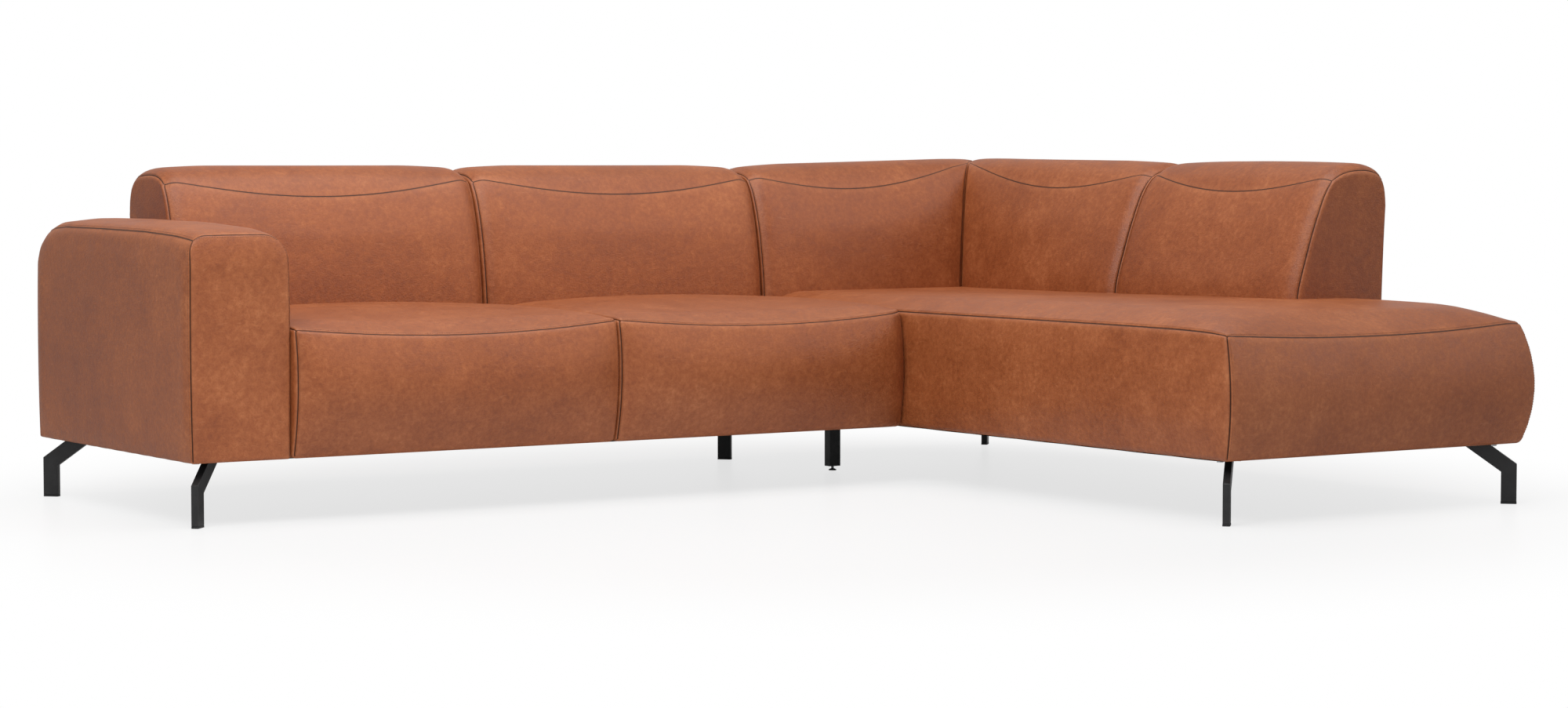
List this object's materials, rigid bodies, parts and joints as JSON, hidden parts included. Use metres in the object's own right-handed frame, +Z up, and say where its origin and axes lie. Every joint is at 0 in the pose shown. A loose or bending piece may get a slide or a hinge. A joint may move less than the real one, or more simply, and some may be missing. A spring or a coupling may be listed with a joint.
{
  "type": "corner sofa",
  "caption": "Corner sofa in brown leather with one arm, an open-ended chaise, crowned seats and backs, and bent flat-bar legs.",
  "frame": {"origin": "on the floor, under the middle of the whole sofa", "axes": "+X along the long back from the arm to the chaise, +Y to the rear, +Z up"},
  "size_m": [2.9949, 2.2401, 0.8475],
  "materials": {
    "leather": "satin",
    "foam": "matte",
    "webbing": "matte",
    "dust_cloth": "matte",
    "timber": "matte",
    "black_steel": "satin",
    "black_plastic": "matte",
    "zinc_steel": "satin"
  },
  "bodies": {
    "sofa": {"arm_bolts": "zinc_steel", "arm_bridge": "timber", "arm_cover": "leather", "arm_end_boards": "timber", "arm_floor": "timber", "arm_foam": "foam", "arm_front_leg": "black_steel", "arm_inner_panel": "timber", "arm_outer_panel": "timber", "arm_rear_leg": "black_steel", "back_1_cover": "leather", "back_1_foam": "foam", "back_2_cover": "leather", "back_2_foam": "foam", "back_webbing": "webbing", "chaise_back_cover": "leather", "chaise_back_foam": "foam", "chaise_cover": "leather", "chaise_cross_rails": "timber", "chaise_cross_webbing": "webbing", "chaise_foam": "foam", "chaise_inner_leg": "black_steel", "chaise_outer_leg": "black_steel", "chaise_rails": "timber", "chaise_webbing": "webbing", "corner_back_rear_cover": "leather", "corner_back_rear_foam": "foam", "corner_back_side_cover": "leather", "corner_back_side_foam": "foam", "corner_blocks": "timber", "corner_deck_rail": "timber", "corner_rear_leg": "black_steel", "corner_top_rail": "timber", "corner_uprights": "timber", "cross_rails": "timber", "deck_rails": "timber", "dust_covers": "dust_cloth", "front_rail": "timber", "joint_rear_leg": "black_steel", "left_top_rail": "timber", "left_uprights": "timber", "leg_bolts": "zinc_steel", "leg_end_caps": "black_plastic", "link_bolts": "zinc_steel", "link_plates": "zinc_steel", "rear_panel": "leather", "rear_rail": "timber", "seat_1_cover": "leather", "seat_1_foam": "foam", "seat_2_cover": "leather", "seat_2_foam": "foam", "seat_cross_webbing": "webbing", "seat_webbing": "webbing", "side_top_rail": "timber", "side_uprights": "timber", "support_leg": "black_steel", "support_plug": "black_plastic"},
    "foot": {"screw_foot": "black_plastic"},
    "stem": {"screw_stem": "zinc_steel"}
  },
  "joints": [
    {"name": "foot_travel", "type": "slide", "parent": "sofa", "child": "foot", "axis": [0, 0, 1], "range_m": [0, 0.006]},
    {"name": "stem_turn", "type": "hinge", "parent": "foot", "child": "stem", "pos_m": [0.5755, 0.602, 0.015], "axis": [0, 0, 1], "range_deg": [0, 1729]}
  ],
  "couplings": [
    {"joint": "stem_turn", "follows": "foot_travel", "rad_per_m": 5026.5}
  ]
}
